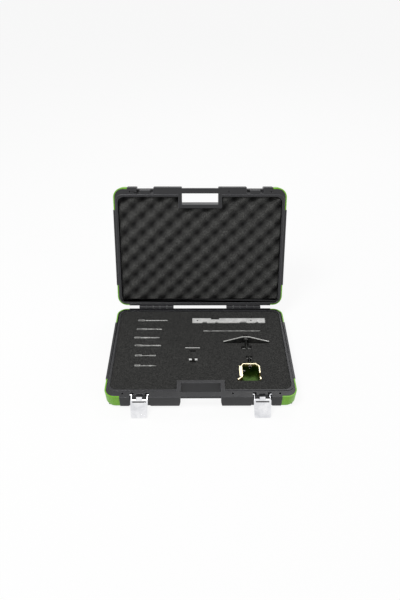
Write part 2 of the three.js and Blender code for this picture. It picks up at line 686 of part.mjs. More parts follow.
/** The chevron clamp: a strip on edge, a nut on its front and a screw through both. */
function chevronClamp() {
  const { x, span, flat, rise, height, sheet } = CHEVRON;
  const y = fromFront(CHEVRON.y);
  const top = FOAM_TOP + TOOL_PROUD;
  const z = FOAM_TOP - SCREW_DEPTH;
  const bend = (inset) => [
    [-span / 2, -rise - inset], [-flat / 2, -inset], [flat / 2, -inset], [span / 2, -rise - inset],
  ];
  const place = (points) => points.map(([dx, dy]) => [x + dx, y + dy]);
  const outline = place([...bend(0), ...bend(sheet).reverse()]);
  const strip = prism(outline, 'z', top - height, top).subtract(screwBore(x, z, CHEVRON_SCREW.radius));
  const nutBack = y - sheet - GAP;
  const screw = clampScrew('chevron', {
    x, z, size: CHEVRON_SCREW,
    tail: y + CHEVRON_SCREW.back, boss: y + CHEVRON_SCREW.back - CHEVRON_SCREW.length,
  });
  const g = POCKET_GAP;
  const hollow = place([
    [-span / 2 - g, -rise + g], [-flat / 2 - g, g], [flat / 2 + g, g], [span / 2 + g, -rise + g],
    [span / 2 + g, -rise - 2 * sheet], [-span / 2 - g, -rise - 2 * sheet],
  ]);
  return {
    meshes: [
      piece('chevron_plate', strip, 'darkSteel'),
      piece('chevron_nut', nut(x, nutBack - NUT.length, z, CHEVRON_SCREW.radius), 'steel'),
      ...screw.meshes,
    ],
    room: join([prism(hollow, 'z', top - height - g, FAR), screw.room]),
  };
}

/** The bracket: a bent channel on a floor, its clamp screw behind and a screw in its left wall. */
function channelBracket() {
  const { x, width, depth, height, sheet, chamfer, foot, flange } = BRACKET;
  const back = fromFront(BRACKET.y);
  const top = FOAM_TOP + TOOL_PROUD;
  const z = FOAM_TOP - SCREW_DEPTH;
  const half = width / 2;
  const trim = sheet * 0.4; // what an inner corner loses to the sheet's thickness
  const run = (inset, corner) => [
    [-half - foot + inset * 0.7, -depth - inset * 0.7], [-half + inset, -depth + foot - corner],
    [-half + inset, -chamfer + corner / 2], [-half + chamfer * 0.6 + corner / 2, -inset],
    [half - chamfer - corner / 2, -inset], [half - inset, -chamfer - corner / 2], [half - inset, -depth],
  ];
  const place = (points) => points.map(([dx, dy]) => [x + dx, back + dy]);
  const walls = prism(place([...run(0, 0), ...run(sheet, trim).reverse()]), 'z', top - height, top);
  const floor = prism(place(run(0, 0).slice(1)), 'z', top - height, top - height + sheet);
  const notchFloor = top - BRACKET_NOTCH.depth;
  const notch = block(x, FAR, back - BRACKET_NOTCH.to, back - BRACKET_NOTCH.from, notchFloor, FAR);
  const sideY = back - SIDE_SCREW.fromBack;
  const sideBore = bar([-FAR, sideY, z], [x, sideY, z], SIDE_SCREW.radius + GAP);
  const flangeBack = back - chamfer;
  const flangeFront = back - depth + foot;
  const turnedOut = block(x - half - flange, x - half + 1, flangeFront, flangeBack, top - sheet, top);
  const bores = [sideBore, screwBore(x, z, BRACKET_SCREW.radius)];
  const channel = cut(join([walls, floor, turnedOut]), [notch, ...bores]);
  const headEnd = x - half - GAP;
  const headStart = headEnd - SIDE_SCREW.headLength;
  const sideScrew = join([
    bar([headStart, sideY, z], [headEnd, sideY, z], SIDE_SCREW.headRadius),
    bar([headEnd - 1, sideY, z], [headStart + SIDE_SCREW.length, sideY, z], SIDE_SCREW.radius),
  ]);
  const screw = clampScrew('bracket', {
    x, z, size: BRACKET_SCREW,
    tail: back + BRACKET_SCREW.back - BRACKET_SCREW.length, boss: back + BRACKET_SCREW.back,
  });
  const g = POCKET_GAP;
  const sideRoom = SIDE_SCREW.headRadius + g;
  return {
    meshes: [
      piece('bracket', channel, 'yellowZinc'),
      piece('bracket_nut', nut(x, back - sheet - GAP - NUT.length, z, BRACKET_SCREW.radius), 'steel'),
      piece('bracket_side_screw', sideScrew, 'steel'),
      ...screw.meshes,
    ],
    room: join([
      prism(place([
        [-half - foot - g, -depth - sheet - g], [half + g, -depth - sheet - g], [half + g, g],
        [-half - g, g], [-half - g, -depth + foot + g], [-half - foot - g, -depth + g],
      ]), 'z', top - height - g, FAR),
      block(x - half - flange - g, x, flangeFront - g, flangeBack + g, top - sheet - g, FAR),
      block(headStart - g, x, sideY - sideRoom, sideY + sideRoom, z - sideRoom, FAR),
      screw.room,
    ]),
  };
}

/** A half-moon cut in the foam for a fingertip in front of a standing tool. */
function fingerCut(x, y) {
  const round = bar([x, y, FOAM_TOP - FINGER_CUT.depth], [x, y, FAR], FINGER_CUT.radius, 20);
  return round.intersect(block(-FAR, FAR, y - FINGER_CUT.reach, y, -FAR, FAR));
}

/** The setting plate, standing in a slit. */
function settingPlate() {
  const { x, width, height, sheet, proud } = PLATE;
  const y = fromFront(PLATE.y);
  const top = FOAM_TOP + proud;
  const g = POCKET_GAP;
  const plate = centredBlock(x, y, width, sheet, top - height, top);
  return {
    meshes: [piece('setting_plate', plate, 'steel')],
    room: join([
      centredBlock(x, y, width + 2 * g, sheet + 2 * g, top - height - g, FAR),
      fingerCut(x, y - FINGER_CUT.plateOffset),
    ]),
  };
}

/** The forked insert, standing with its prongs up. */
function forkedInsert() {
  const { x, width, height, sheet, slot, slotDepth, proud } = FORK;
  const y = fromFront(FORK.y);
  const top = FOAM_TOP + proud;
  const g = POCKET_GAP;
  const plain = centredBlock(x, y, width, sheet, top - height, top);
  const gapCut = block(x - slot / 2, x + slot / 2, -FAR, FAR, top - slotDepth, FAR);
  return {
    meshes: [piece('forked_insert', plain.subtract(gapCut), 'steel')],
    room: join([
      centredBlock(x, y, width + 2 * g, sheet + 2 * g, top - height - g, FAR),
      fingerCut(x, y - FINGER_CUT.forkOffset),
    ]),
  };
}

// ---------------------------------------------------------------- assembly

const tools = [
  ...TIMING_PINS.map((size, i) => turnedTool(`timing_pin_${i + 1}`, size, 'steel')),
  settingBar(),
  turnedTool('tensioner_rod', ROD, 'steel'),
  chevronClamp(),
  channelBracket(),
  settingPlate(),
  forkedInsert(),
];

/** One tray's corner caps. */
const cornerCaps = (tray, height, flipped) => CORNERS.map((corner) => {
  const mirrored = corner.name.replace(/left|right/, (word) => (word === 'left' ? 'right' : 'left'));
  const place = flipped ? mirrored : corner.name;
  return piece(`${tray}_cap_${place}`, cornerCap(height, corner), 'greenPlastic');
});

/** The base's tray with its foam, caps and hinge pins, rim up. */
function baseGroup() {
  const group = new THREE.Group();
  group.position.z = BASE_HEIGHT;
  const pins = [-1, 1].map((side) => {
    const reach = HINGE_WIDTH / 2 - 1;
    const x = side * HINGE_CENTRE;
    const pin = bar([x - reach, HINGE_Y, HINGE_Z], [x + reach, HINGE_Y, HINGE_Z], HINGE_PIN_RADIUS);
    return piece(`hinge_pin_${side < 0 ? 'left' : 'right'}`, pin, 'steel');
  });
  const shell = piece('base_shell', baseShell(), 'blackPlastic');
  group.add(shell, ...cornerCaps('base', BASE_HEIGHT, false), ...pins);
  return group;
}

/** The foam insert with room for every tool. */
function baseFoam() {
  const slab = cavity(BASE_HEIGHT, GAP, SKIN + GAP, -FOAM_BELOW_RIM).translate([0, 0, BASE_HEIGHT]);
  return piece('base_foam', cut(slab, tools.map((tool) => tool.room)), 'baseFoam');
}

/** The lid's tray, foam and caps: built rim up, turned rim down, then swung open. */
function lidGroup() {
  const swing = new THREE.Group();
  swing.position.set(0, HINGE_Y, BASE_HEIGHT + HINGE_Z);
  swing.rotation.x = -rad(LID_OPEN_ANGLE);
  const tray = new THREE.Group();
  tray.position.set(0, -HINGE_Y, RIM_GAP - HINGE_Z);
  tray.rotation.y = Math.PI;
  const foam = cavity(LID_HEIGHT, GAP, SKIN + GAP, -LID_FOAM_BELOW_RIM);
  tray.add(
    piece('lid_shell', lidShell(), 'blackPlastic'),
    piece('lid_foam', foam, 'lidFoam'),
    ...cornerCaps('lid', LID_HEIGHT, true),
  );
  swing.add(tray);
  return swing;
}

const toolCase = new THREE.Group();
toolCase.add(baseGroup(), baseFoam(), lidGroup(), latch(-1, 'left'), latch(1, 'right'));
for (const tool of tools) toolCase.add(...tool.meshes);

export default toolCase;
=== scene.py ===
# %% [markdown]
# # An open tool case with engine timing tools
# The measured model of the case comes in first as a fixed frame: every shell, cap, latch and tool is a
# CAD node that already has its real size and place. This lesson gives those nodes their finish, softens
# their edges and models what a CAD solid can't show, such as egg-crate foam and knurling. We keep the
# box of the whole model from the start, to see at the end that nothing has grown.

# %% Load the frame
import json
import math

import bmesh
import bpy
from mathutils import Matrix, Vector

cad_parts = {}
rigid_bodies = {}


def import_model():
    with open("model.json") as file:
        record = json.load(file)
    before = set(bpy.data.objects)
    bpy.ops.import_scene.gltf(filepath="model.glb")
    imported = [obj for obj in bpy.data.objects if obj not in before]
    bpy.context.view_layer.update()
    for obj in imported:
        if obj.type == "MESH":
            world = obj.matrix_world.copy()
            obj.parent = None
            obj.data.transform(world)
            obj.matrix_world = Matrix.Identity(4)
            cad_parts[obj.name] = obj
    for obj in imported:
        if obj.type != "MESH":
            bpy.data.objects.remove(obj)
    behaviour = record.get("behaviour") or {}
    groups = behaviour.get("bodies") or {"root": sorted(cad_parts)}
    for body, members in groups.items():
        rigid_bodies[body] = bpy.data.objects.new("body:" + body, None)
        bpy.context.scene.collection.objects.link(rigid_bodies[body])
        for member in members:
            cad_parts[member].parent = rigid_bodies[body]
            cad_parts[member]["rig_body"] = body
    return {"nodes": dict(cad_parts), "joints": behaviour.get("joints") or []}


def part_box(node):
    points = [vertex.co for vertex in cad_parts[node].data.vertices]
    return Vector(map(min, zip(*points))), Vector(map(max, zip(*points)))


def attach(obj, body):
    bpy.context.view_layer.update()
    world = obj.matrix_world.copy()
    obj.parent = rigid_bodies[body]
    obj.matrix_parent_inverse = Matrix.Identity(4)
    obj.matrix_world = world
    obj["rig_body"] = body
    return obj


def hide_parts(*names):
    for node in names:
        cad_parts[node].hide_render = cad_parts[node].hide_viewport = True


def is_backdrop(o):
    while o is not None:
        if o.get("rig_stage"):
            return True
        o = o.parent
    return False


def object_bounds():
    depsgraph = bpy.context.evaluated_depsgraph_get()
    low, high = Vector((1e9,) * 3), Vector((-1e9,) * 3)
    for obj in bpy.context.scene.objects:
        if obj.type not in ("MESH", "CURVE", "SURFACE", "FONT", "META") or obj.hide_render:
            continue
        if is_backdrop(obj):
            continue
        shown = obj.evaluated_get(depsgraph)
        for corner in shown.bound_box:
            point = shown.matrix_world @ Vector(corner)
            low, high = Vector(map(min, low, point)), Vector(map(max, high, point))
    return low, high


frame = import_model()
bpy.ops.object.select_all(action="DESELECT")
cad_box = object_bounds()
nodes = frame["nodes"]
MM = 0.001
print(f"{len(nodes)} CAD nodes, box {[tuple(round(v / MM) for v in corner) for corner in cad_box]} mm")

# %% [markdown]
# ## Camera
# A product shot of an open case is taken from in front and above, far enough away that the lid doesn't
# tower over the base. The direction comes from three small turns: down, a little to the right, and a
# slight roll. We build the camera's axes from them, because a matrix says exactly where each axis points.

# %% Camera
CAMERA_PLACE = Vector((-11.6, -1079.5, 1065.5)) * MM
LOOK_DOWN, LOOK_RIGHT, ROLL = (math.radians(turn) for turn in (38.5, 0.53, 0.26))
SENSOR_WIDTH, LENS = 36, 33.2  # in millimetres, as on a camera

forward = Vector((
    math.sin(LOOK_RIGHT) * math.cos(LOOK_DOWN),
    math.cos(LOOK_RIGHT) * math.cos(LOOK_DOWN),
    -math.sin(LOOK_DOWN),
))
level = Vector((math.cos(LOOK_RIGHT), -math.sin(LOOK_RIGHT), 0))
upright = level.cross(forward)
right = level * math.cos(ROLL) + upright * math.sin(ROLL)
up = upright * math.cos(ROLL) - level * math.sin(ROLL)

bpy.ops.object.camera_add()
camera = bpy.context.object
camera.data.sensor_width = SENSOR_WIDTH
camera.data.lens = LENS
camera.matrix_world = Matrix.Translation(CAMERA_PLACE) @ Matrix((right, up, -forward)).transposed().to_4x4()
bpy.context.scene.camera = camera
print("camera", tuple(round(v, 3) for v in camera.location), "m, lens", camera.data.lens, "mm")

# %% [markdown]
# ## Colours and nodes
# Finishes are written the way a paint chart gives them, as sRGB hex, while Blender's shaders work in
# linear light, so one function turns one into the other. A second small function adds a shader node,
# sets it and links its inputs, which keeps each finish below readable as a list of layers.

# %% Colour and node helpers
def linear(hex_colour):
    """An sRGB hex colour as linear red, green, blue and alpha."""
    channels = [int(hex_colour[i:i + 2], 16) / 255 for i in (1, 3, 5)]
    return (*[c / 12.92 if c <= 0.04045 else ((c + 0.055) / 1.055) ** 2.4 for c in channels], 1)


def add(tree, kind, inputs=None, **settings):
    """A new node with its settings, each input either linked to a socket or set to a value."""
    node = tree.nodes.new("ShaderNode" + kind)
    for name, value in settings.items():
        setattr(node, name, value)
    for name, value in (inputs or {}).items():
        if isinstance(value, bpy.types.NodeSocket):
            tree.links.new(value, node.inputs[name])
        else:
            node.inputs[name].default_value = value
    return node


def new_material(name):
    """An empty material, its node tree and a socket that gives Object coordinates."""
    material = bpy.data.materials.new(name)
    material.use_nodes = True
    material.node_tree.nodes.clear()
    place = add(material.node_tree, "TexCoord").outputs["Object"]
    return material, material.node_tree, place


def close_material(tree, shader):
    """Links the finished shader to the material's output."""
    add(tree, "OutputMaterial", {"Surface": shader.outputs[0]})


def seen_rays(tree):
    """A socket that is 1 for rays from the camera, a reflection or a clear surface, and 0 for others."""
    rays = add(tree, "LightPath").outputs
    direct = add(tree, "Math", {0: rays["Is Camera Ray"], 1: rays["Is Glossy Ray"]}, operation="MAXIMUM")
    clear = add(tree, "Math", {0: direct.outputs[0], 1: rays["Is Transmission Ray"]}, operation="MAXIMUM")
    return clear.outputs[0]


print("lime green", [round(c, 3) for c in linear("#7fc02e")])

# %% [markdown]
# ## Floor and light
# The case stands on a white sweep under big soft lamps, as in a catalogue. A white world lights it
# evenly. Seen by the camera, or in a polished or clear surface, the world is pure white. The floor is
# part painted white and part glowing in the same way, so that it stays white and still shows the
# soft shadow that seats the case on it.

# %% White world and floor
WORLD_LIGHT = 0.34
FLOOR_GLOW = 0.9
FLOOR_SIZE = 14  # in metres
FLOOR_BELOW = 0.3 * MM  # keeps the floor off the underside

world = bpy.data.worlds.new("studio_white")
bpy.context.scene.world = world
world.use_nodes = True
world.node_tree.nodes.clear()
strength = add(world.node_tree, "MapRange", {"Value": seen_rays(world.node_tree),
                                             "To Min": WORLD_LIGHT, "To Max": 1.0})
sky = add(world.node_tree, "Background", {"Color": (1, 1, 1, 1), "Strength": strength.outputs[0]})
add(world.node_tree, "OutputWorld", {"Surface": sky.outputs[0]})

bpy.ops.mesh.primitive_plane_add(size=FLOOR_SIZE, location=(0, 0, -FLOOR_BELOW))
bpy.ops.object.transform_apply()
floor = bpy.context.object
floor.name = "studio_floor"
white_paint, tree, _ = new_material("white_studio_paint")
paint = add(tree, "BsdfDiffuse", {"Color": linear("#f4f4f4")})
glow = add(tree, "Emission", {"Color": (1, 1, 1, 1), "Strength": 1.0})
share = add(tree, "Math", {0: seen_rays(tree), 1: FLOOR_GLOW}, operation="MULTIPLY")
close_material(tree, add(tree, "MixShader", {0: share.outputs[0], 1: paint.outputs[0], 2: glow.outputs[0]}))
floor.data.materials.append(white_paint)
floor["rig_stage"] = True
bpy.context.scene.view_settings.view_transform = "Standard"

# %% Soft lamps
LAMPS_AIM = Vector((0, 0.05, 0.1))


def softbox(name, place, size, share):
    """A square lamp aimed at the case that gives a white sheet there this share of full white."""
    aim = LAMPS_AIM - Vector(place)
    bpy.ops.object.light_add(type="AREA", location=place,
                             rotation=aim.to_track_quat("-Z", "Y").to_euler())
    lamp = bpy.context.object
    lamp.name = name
    lamp.data.size = size
    lamp.data.energy = share * (math.pi * aim.length) ** 2
    print(name, round(lamp.data.energy, 1), "W")


softbox("key_light", (-0.7, -0.5, 2.1), 0.8, 0.6)
softbox("fill_light", (1.7, -1.0, 1.1), 1.2, 0.12)
softbox("back_light", (0.5, 1.6, 1.7), 1.0, 0.2)

# %% [markdown]
# ## Black polypropylene
# The trays are injection moulded from black polypropylene in a spark-eroded mould, which leaves a fine
# satin grain. A noise of about half a millimetre makes that grain; it is drawn at a millimetre or so,
# because the true one would vanish at this distance. Handling polishes the plastic in broad patches, so a
# second, slow noise shifts the roughness a little. Each plastic comes twice: as moulded, and lighter for
# its rounded edges, where the grey is a painted highlight for the light that those edges catch.

# %% Moulded plastics
PATCH_MM, SCUFF_MM = 70, 26  # sizes of the polished patches and the scuffs


def moulded_plastic(name, body, worn, grain_mm, rough):
    """A spark-eroded moulded plastic: its colour, its scuffed colour, grain size and roughness range."""
    material, tree, place = new_material(name)
    grain = add(tree, "TexNoise", {"Vector": place, "Scale": 1 / (grain_mm * MM), "Detail": 3.0})
    patches = add(tree, "TexNoise", {"Vector": place, "Scale": 1 / (PATCH_MM * MM), "Detail": 4.0,
                                     "Roughness": 0.6})
    stretch = add(tree, "Mapping", {"Vector": place, "Rotation": (0.5, 0.3, 0.7), "Scale": (1, 9, 5)})
    scuffs = add(tree, "TexNoise", {"Vector": stretch.outputs[0], "Scale": 1 / (SCUFF_MM * MM),
                                    "Detail": 6.0,
                                    "Roughness": 0.72})
    scuff = add(tree, "MapRange", {"Value": scuffs.outputs["Fac"], "From Min": 0.6, "From Max": 0.76})
    shade = add(tree, "MixRGB", {"Fac": scuff.outputs[0], "Color1": linear(body), "Color2": linear(worn)})
    speck = add(tree, "MapRange", {"Value": grain.outputs["Fac"], "From Min": 0.3, "From Max": 0.7,
                                   "To Min": 0.8, "To Max": 1.2})
    tone = add(tree, "MixRGB", {"Fac": 1.0, "Color1": shade.outputs[0], "Color2": speck.outputs[0]},
               blend_type="MULTIPLY")
    gloss = add(tree, "MapRange", {"Value": patches.outputs["Fac"], "From Min": 0.3, "From Max": 0.7,
                                   "To Min": rough[0], "To Max": rough[1]})
    relief = add(tree, "Bump", {"Height": grain.outputs["Fac"], "Strength": 0.28, "Distance": 0.25 * MM})
    close_material(tree, add(tree, "BsdfPrincipled", {
        "Base Color": tone.outputs[0], "Roughness": gloss.outputs[0], "IOR": 1.49,
        "Specular IOR Level": 0.4, "Normal": relief.outputs[0]}))
    return material


black_polypropylene = moulded_plastic("black_polypropylene", "#252527", "#3c3c3f", 1.1, (0.34, 0.48))
lime_abs = moulded_plastic("lime_green_abs", "#76b526", "#9ccd55", 1.0, (0.3, 0.44))
# The two lighter copies are painted highlight: they go on the rounded edges for the light those edges
# catch.
edge_highlight_polypropylene = moulded_plastic("black_polypropylene_painted_edge_highlight", "#4a4a4d", "#68686c", 1.1,
    (0.22, 0.32))
edge_highlight_lime_abs = moulded_plastic("lime_green_abs_painted_edge_highlight", "#8fcb3e", "#b4de78", 1.0, (0.2, 0.3))
print([m.name for m in (black_polypropylene, lime_abs, edge_highlight_polypropylene, edge_highlight_lime_abs)])

# %% [markdown]
# ## Foams
# The lid holds soft convoluted polyurethane, cut so that it bulges like an egg tray; the base holds a
# denser closed-cell polyethylene plank with cut-outs. Neither shines at all. What the eye reads is the
# cells: small dark pits between lighter walls. Voronoi cells give them, at 1.8 mm for the open foam and
# 2 mm for the plank, a little coarser than real so that they still show, and noise breaks up the tone.

# %% Foam finishes
CLOUD_CELLS = 2.6  # cells across one cloud of the noise


def cellular_foam(name, wall, pit, cell_mm, relief_mm, pit_shade=None):
    """A matt foam: the colours of its cell walls and pits, the cell size, the pits' depth in mm, and
    for a face with hollows the colour of the painted shade that darkens them, where the attribute of that
    name says."""
    material, tree, place = new_material(name)
    cells = add(tree, "TexVoronoi", {"Vector": place, "Scale": 1 / (cell_mm * MM), "Randomness": 1.0})
    cloud = add(tree, "TexNoise", {"Vector": place, "Scale": 1 / (CLOUD_CELLS * cell_mm * MM),
                                   "Detail": 5.0, "Roughness": 0.75})
    open_cell = add(tree, "MapRange", {"Value": cells.outputs["Distance"],
                                       "From Min": 0.15, "From Max": 0.75})
    mixed = add(tree, "Math", {0: open_cell.outputs[0], 1: cloud.outputs["Fac"]}, operation="MULTIPLY")
    height = add(tree, "MapRange", {"Value": mixed.outputs[0], "From Min": 0.12, "From Max": 0.5})
    shade = add(tree, "MixRGB", {"Fac": height.outputs[0], "Color1": linear(pit), "Color2": linear(wall)})
    # Painted shade: where the attribute says a hollow is deep, the colour darkens towards the shade colour.
    if pit_shade:
        depth = add(tree, "Attribute", attribute_name="pit_shade").outputs["Fac"]
        shade = add(tree, "MixRGB", {"Fac": depth, "Color1": shade.outputs[0], "Color2": linear(pit_shade)})
    relief = add(tree, "Bump", {"Height": height.outputs[0], "Strength": 0.7, "Distance": relief_mm * MM})
    close_material(tree, add(tree, "BsdfPrincipled", {
        "Base Color": shade.outputs[0], "Roughness": 0.96, "Specular IOR Level": 0.12,
        "Sheen Weight": 0.12, "Sheen Roughness": 0.6, "Normal": relief.outputs[0]}))
    return material


# The last colour is painted shade for the deep pits of the egg-crate.
convoluted_foam = cellular_foam("convoluted_polyurethane_foam", "#5c5c5a", "#262625", 1.8, 0.9,
                                pit_shade="#171717")
plank_foam = cellular_foam("polyethylene_plank_foam", "#3b3b39", "#0a0a0a", 2.0, 0.8)
print(convoluted_foam.name, plank_foam.name)

# %% [markdown]
# ## Metals
# The latches are chromed steel sheet, nearly a mirror. The pins are ground tool steel with fine turning
# marks round them, the setting bar is bright milled steel, and the chevron clamp is blackened steel, with
# a painted highlight in light grey along its upper edge. One function covers them, as each is a colour
# that varies, a roughness that varies and fine machining lines. The bracket's zinc plate comes after them.

# %% Metal finishes
# A painted highlight in light grey along the chevron plate's upper edge, for the light it catches.
TOP_EDGE_HIGHLIGHT = "#b9b9b6"
HIGHLIGHT_FADE, HIGHLIGHT_DOWN = 0.6 * MM, 0.8 * MM  # border of the painted top-edge highlight, and its depth from the top


def machined_metal(name, light, dark, rough, line_mm, stretch, relief_mm, patch_mm=18, metallic=1.0,
                   highlight_above=None):
    """A metal with two tones, a roughness range and machining lines drawn out by stretch. Above the
    height highlight_above a light grey highlight is painted on, for the light that a top edge catches."""
    material, tree, place = new_material(name)
    drawn = add(tree, "Mapping", {"Vector": place, "Scale": stretch})
    lines = add(tree, "TexNoise", {"Vector": drawn.outputs[0], "Scale": 1 / (line_mm * MM), "Detail": 4.0,
                                   "Roughness": 0.65})
    patches = add(tree, "TexNoise", {"Vector": place, "Scale": 1 / (patch_mm * MM), "Detail": 5.0,
                                     "Roughness": 0.62, "Distortion": 0.6})
    spread = add(tree, "MapRange", {"Value": patches.outputs["Fac"], "From Min": 0.34, "From Max": 0.66})
    tone = add(tree, "MixRGB", {"Fac": spread.outputs[0], "Color1": linear(dark), "Color2": linear(light)})
    # Painted highlight: above a height the colour turns light grey.
    if highlight_above:
        height = add(tree, "SeparateXYZ", {"Vector": place}).outputs["Z"]
        top_highlight = add(tree, "MapRange", {"Value": height, "From Min": highlight_above - HIGHLIGHT_FADE,
                                      "From Max": highlight_above})
        tone = add(tree, "MixRGB", {"Fac": top_highlight.outputs[0], "Color1": tone.outputs[0],
                                    "Color2": linear(TOP_EDGE_HIGHLIGHT)})
    blur = add(tree, "Math", {0: lines.outputs["Fac"], 1: spread.outputs[0]}, operation="MULTIPLY")
    gloss = add(tree, "MapRange", {"Value": blur.outputs[0], "From Min": 0.1, "From Max": 0.6,
                                   "To Min": rough[0], "To Max": rough[1]})
    relief = add(tree, "Bump", {"Height": lines.outputs["Fac"], "Strength": 0.35,
                                "Distance": relief_mm * MM})
    close_material(tree, add(tree, "BsdfPrincipled", {
        "Base Color": tone.outputs[0], "Metallic": metallic, "Roughness": gloss.outputs[0],
        "Normal": relief.outputs[0]}))
    return material


chrome = machined_metal("chromed_steel", "#f2f2f4", "#d6d7db", (0.08, 0.22), 1.0, (1, 1, 1), 0.02, 30)
tool_steel = machined_metal("ground_tool_steel", "#8f8f8d", "#565655", (0.3, 0.46), 0.5, (8, 1, 1), 0.05, 9)
milled_steel = machined_metal("milled_bright_steel", "#f2f2f0", "#dcdcda", (0.5, 0.62), 0.8, (1, 12, 1),
                              0.01, 25, 0.45)
black_oxide = machined_metal("black_oxide_steel", "#4c4d49", "#26272a", (0.3, 0.46), 0.8, (3, 1, 1),
                             0.05, 14)
# The chevron plate's finish has a painted highlight along its top edge.
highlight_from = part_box("chevron_plate")[1].z - HIGHLIGHT_DOWN
top_lit_black_oxide = machined_metal("black_oxide_steel_painted_top_highlight", "#4c4d49", "#2b2c2e", (0.45, 0.6), 0.8,
                              (3, 1, 1), 0.03, 14, 0.5, highlight_above=highlight_from)
print("metals:", [m.name for m in (chrome, tool_steel, milled_steel, black_oxide, top_lit_black_oxide)])

# %% [markdown]
# ## Yellow passivated zinc
# The bracket was zinc plated and dipped in a yellow chromate. Its colour is painted by height: pale
# straw on the upper edges as a painted highlight, gold below them, and dark olive down inside the channel
# as painted shade. A ramp up the height of the bracket gives that change, with noise to make its border
# wander.

# %% Zinc plate with painted shade lower down and a painted highlight on top
LIT_ZINC_STRAW, ZINC_GOLD, SHADED_ZINC_OLIVE = "#f0e6c4", "#a88f4e", "#2c4312"
bracket_low, bracket_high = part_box("bracket")

yellow_zinc, tree, place = new_material("yellow_passivated_zinc")
height = add(tree, "SeparateXYZ", {"Vector": place}).outputs["Z"]
film = add(tree, "TexNoise", {"Vector": place, "Scale": 1 / (7 * MM), "Detail": 5.0, "Roughness": 0.6})
level = add(tree, "MapRange", {"Value": height, "From Min": bracket_low.z, "From Max": bracket_high.z})
wander = add(tree, "MapRange", {"Value": film.outputs["Fac"], "From Min": 0.3, "From Max": 0.7,
                                "To Min": -0.12, "To Max": 0.12})
shade_height = add(tree, "Math", {0: level.outputs[0], 1: wander.outputs[0]}, operation="ADD")
# The ramp paints shade low in the channel and a highlight on the upper edges.
light_and_shade_ramp = add(tree, "ValToRGB", {"Fac": shade_height.outputs[0]})
light_and_shade_ramp.color_ramp.elements[0].position, light_and_shade_ramp.color_ramp.elements[0].color = 0.62, linear(SHADED_ZINC_OLIVE)
light_and_shade_ramp.color_ramp.elements[1].position, light_and_shade_ramp.color_ramp.elements[1].color = 0.97, linear(LIT_ZINC_STRAW)
light_and_shade_ramp.color_ramp.elements.new(0.84).color = linear(ZINC_GOLD)
gloss = add(tree, "MapRange", {"Value": film.outputs["Fac"], "To Min": 0.2, "To Max": 0.44})
relief = add(tree, "Bump", {"Height": film.outputs["Fac"], "Strength": 0.3, "Distance": 0.04 * MM})
close_material(tree, add(tree, "BsdfPrincipled", {
    "Base Color": light_and_shade_ramp.outputs["Color"], "Metallic": 0.8, "Roughness": gloss.outputs[0],
    "Normal": relief.outputs[0]}))
print(yellow_zinc.name, "over", round((bracket_high.z - bracket_low.z) / MM), "mm")

# %% [markdown]
# ## One finish for each measured node
# A node's name says what it is, so a short table from the start of a name to a finish covers them all.
# The first entry that matches counts, which lets the screws and their cross bars differ from the
# clamps that they sit in.

# %% Assign the finishes
FINISHES = {  # start of a node's name: its finish and its material slot
    "base_foam": (plank_foam, "base_foam"),
    "lid_foam": (convoluted_foam, "lid_foam"),
    "base_cap": (lime_abs, "green_plastic"),
    "lid_cap": (lime_abs, "green_plastic"),
    "base_shell": (black_polypropylene, "black_plastic"),
    "lid_shell": (black_polypropylene, "black_plastic"),
    "latch": (chrome, "latch_chrome"),
    "setting_bar": (milled_steel, "bright_steel"),
    "chevron_plate": (top_lit_black_oxide, "dark_steel"),
    "chevron_screw": (black_oxide, "dark_steel"),
    "bracket_screw": (black_oxide, "dark_steel"),
    "setting_plate": (milled_steel, "tool_steel"),
    "forked_insert": (milled_steel, "tool_steel"),
    "bracket_nut": (tool_steel, "tool_steel"),
    "bracket_side_screw": (tool_steel, "tool_steel"),
    "bracket_tommy_bar": (tool_steel, "tool_steel"),
    "bracket": (yellow_zinc, "yellow_zinc"),
    "": (tool_steel, "tool_steel"),
}


def finish_of(node_name):
    """The finish and the material slot of a CAD node."""
    return next(entry for start, entry in FINISHES.items() if node_name.startswith(start))


for name, node in nodes.items():
    node.data.materials.clear()
    node.data.materials.append(finish_of(name)[0])
print(f"{len(nodes)} nodes finished")

# %% [markdown]
# ## Eased edges
# A moulded or pressed edge is never knife sharp: a radius of half a millimetre is what catches the
# light. The CAD nodes have plain corners, so most visible ones get a copy with eased edges that stands
# for the node. The copy's loose triangles are merged first and flat faces are dissolved into whole
# ones, then a Bevel modifier rounds every edge that turns sharply. On a big moulding with short edges
# the modifier's clamp would leave next to nothing, so there only edges with room are rounded.

# %% A copy of a node with eased edges
MERGE_CLOSER_THAN = 0.004 * MM
ROUND_SHARPER_THAN = math.radians(32)  # an edge that turns more gets a radius
ROOMY_SHARPER_THAN = math.radians(40)  # the same where only edges with room get one
SMOOTH_BELOW = math.radians(35)  # an edge that turns less is shaded smooth


def merged_copy(node_name, piece_name, whole_faces=True):
    """A new object with the node's shape, its doubles merged and its flat faces dissolved if asked."""
    piece = nodes[node_name].copy()
    piece.data = nodes[node_name].data.copy()
    piece.parent = None
    piece.name = piece_name
    for key in list(piece.keys()):
        del piece[key]
    bpy.context.scene.collection.objects.link(piece)
    bpy.ops.object.select_all(action="DESELECT")
    piece.select_set(True)
    bpy.context.view_layer.objects.active = piece
    bpy.ops.object.mode_set(mode="EDIT")
    bpy.ops.mesh.select_all(action="SELECT")
    bpy.ops.mesh.remove_doubles(threshold=MERGE_CLOSER_THAN)
    if whole_faces:
        bpy.ops.mesh.dissolve_limited(angle_limit=math.radians(1))
    bpy.ops.object.mode_set(mode="OBJECT")
    return piece


def apply_modifier(piece, kind, **settings):
    """Adds a modifier with its settings and applies it to the mesh."""
    modifier = piece.modifiers.new(kind.lower(), kind)
    for name, value in settings.items():
        setattr(modifier, name, value)
    bpy.ops.object.select_all(action="DESELECT")
    piece.select_set(True)
    bpy.context.view_layer.objects.active = piece
    bpy.ops.object.modifier_apply(modifier=modifier.name)


